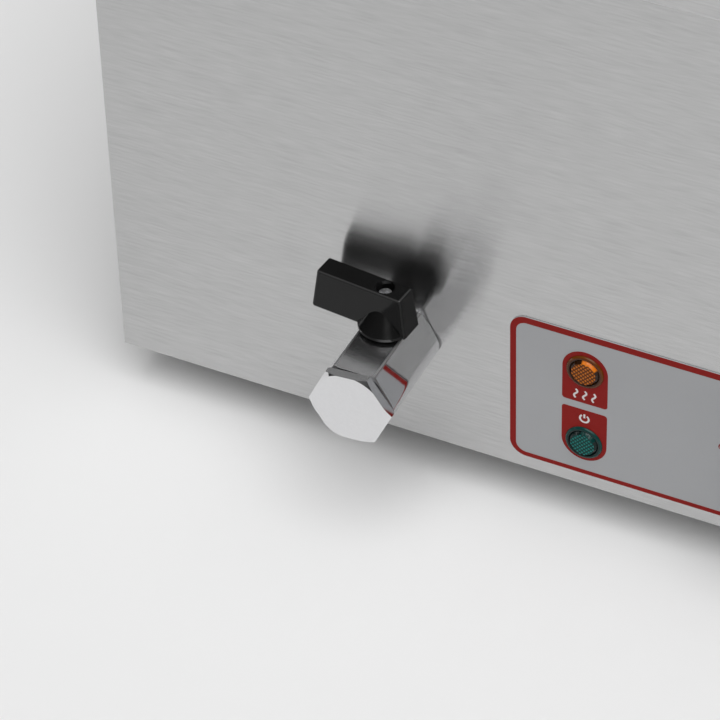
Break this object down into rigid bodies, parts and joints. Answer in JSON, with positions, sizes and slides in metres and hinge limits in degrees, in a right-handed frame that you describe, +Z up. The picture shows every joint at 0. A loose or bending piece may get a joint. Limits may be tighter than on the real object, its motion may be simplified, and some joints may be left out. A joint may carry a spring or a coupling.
{
  "type": "bain-marie",
  "caption": "Countertop wet-well bain-marie with a brushed steel casing, a lever drain tap, lamps and a thermostat on its front, and lift-out pans with hinged lids over a heated tank.",
  "frame": {"origin": "on the floor under the middle of the whole outline, feet at z = 0", "axes": "+Z up; -Y out of the front panel with the tap, the lamps and the knob; +X to the right seen from the front"},
  "size_m": [0.3576, 0.626, 0.289],
  "materials": {
    "brushed_steel": "fine horizontal brushed grain",
    "satin_steel": "satin pressed stainless steel",
    "chrome": "polished chrome plating",
    "gloss_black": "moulded black plastic, half gloss",
    "matt_black": "moulded black plastic, fine texture",
    "rubber": "black rubber",
    "zinc": "zinc-plated steel",
    "brass": "turned brass",
    "white_plastic": "white engineering plastic",
    "label": "printed silver-grey foil with a dark red border",
    "amber_lens": "clear amber plastic with a prism pattern",
    "green_lens": "clear green plastic with a prism pattern",
    "heater_metal": "dull heat-resisting steel",
    "wire": "red insulated wire"
  },
  "bodies": {
    "casing": {"front_panel": "brushed_steel", "left_side_panel": "brushed_steel", "right_side_panel": "brushed_steel", "rear_panel": "brushed_steel", "base_plate": "brushed_steel", "top_deck": "brushed_steel", "water_tank": "satin_steel", "rubber_feet": "rubber", "foot_screws": "zinc", "foot_nuts": "zinc", "rear_screws": "zinc", "base_screws": "zinc", "control_label": "label", "heat_lamp_lens": "amber_lens", "power_lamp_lens": "green_lens", "heat_lamp_body": "matt_black", "power_lamp_body": "matt_black", "lamp_nuts": "zinc", "thermostat_body": "white_plastic", "thermostat_screws": "zinc", "thermostat_bulb": "zinc", "heating_element": "heater_metal", "element_nuts": "zinc", "element_brackets": "satin_steel", "terminal_block": "white_plastic", "wiring_loom": "wire", "cable_gland": "matt_black", "gland_nut": "matt_black", "drain_elbow": "brass", "drain_gasket": "rubber", "drain_nuts": "brass", "valve_body": "chrome", "valve_seats": "white_plastic", "valve_retainer": "brass", "stem_seal": "rubber", "pan_bars": "satin_steel"},
    "tap_lever": {"tap_lever": "gloss_black", "lever_screw": "chrome", "valve_stem": "brass", "valve_ball": "chrome"},
    "thermostat_knob": {"thermostat_knob": "matt_black", "thermostat_shaft": "zinc"},
    "end_plug": {"end_plug": "chrome", "plug_washer": "rubber"},
    "pan_1": {"pan_1": "satin_steel"},
    "lid_1": {"lid_base_1": "satin_steel", "lid_pin_1": "zinc"},
    "lid_flap_1": {"lid_flap_1": "satin_steel", "lid_handle_1": "chrome"},
    "pan_2": {"pan_2": "satin_steel"},
    "lid_2": {"lid_base_2": "satin_steel", "lid_pin_2": "zinc"},
    "lid_flap_2": {"lid_flap_2": "satin_steel", "lid_handle_2": "chrome"},
    "pan_3": {"pan_3": "satin_steel"},
    "lid_3": {"lid_base_3": "satin_steel", "lid_pin_3": "zinc"},
    "lid_flap_3": {"lid_flap_3": "satin_steel", "lid_handle_3": "chrome"}
  },
  "joints": [
    {"name": "tap_lever_turn", "type": "hinge", "parent": "casing", "child": "tap_lever", "pos_m": [-0.0633, -0.2826, 0.0655], "axis": [0, 0, 1], "range_deg": [0, 95.7]},
    {"name": "thermostat_turn", "type": "hinge", "parent": "casing", "child": "thermostat_knob", "pos_m": [0.0845, -0.27, 0.058], "axis": [0, 1, 0], "range_deg": [0, 270]},
    {"name": "plug_pull", "type": "slide", "parent": "casing", "child": "end_plug", "axis": [0, -1, 0], "range_m": [0, 0.03]},
    {"name": "pan_1_lift", "type": "slide", "parent": "casing", "child": "pan_1", "axis": [0, 0, 1], "range_m": [0, 0.12]},
    {"name": "lid_1_lift", "type": "slide", "parent": "pan_1", "child": "lid_1", "axis": [0, 0, 1], "range_m": [0, 0.06]},
    {"name": "lid_1_hinge", "type": "hinge", "parent": "lid_1", "child": "lid_flap_1", "pos_m": [0, -0.1395, 0.2629], "axis": [-1, 0, 0], "range_deg": [0, 105]},
    {"name": "pan_2_lift", "type": "slide", "parent": "casing", "child": "pan_2", "axis": [0, 0, 1], "range_m": [0, 0.12]},
    {"name": "lid_2_lift", "type": "slide", "parent": "pan_2", "child": "lid_2", "axis": [0, 0, 1], "range_m": [0, 0.06]},
    {"name": "lid_2_hinge", "type": "hinge", "parent": "lid_2", "child": "lid_flap_2", "pos_m": [0, 0.0375, 0.2629], "axis": [-1, 0, 0], "range_deg": [0, 105]},
    {"name": "pan_3_lift", "type": "slide", "parent": "casing", "child": "pan_3", "axis": [0, 0, 1], "range_m": [0, 0.12]},
    {"name": "lid_3_lift", "type": "slide", "parent": "pan_3", "child": "lid_3", "axis": [0, 0, 1], "range_m": [0, 0.06]},
    {"name": "lid_3_hinge", "type": "hinge", "parent": "lid_3", "child": "lid_flap_3", "pos_m": [0, 0.2145, 0.2629], "axis": [-1, 0, 0], "range_deg": [0, 105]}
  ]
}
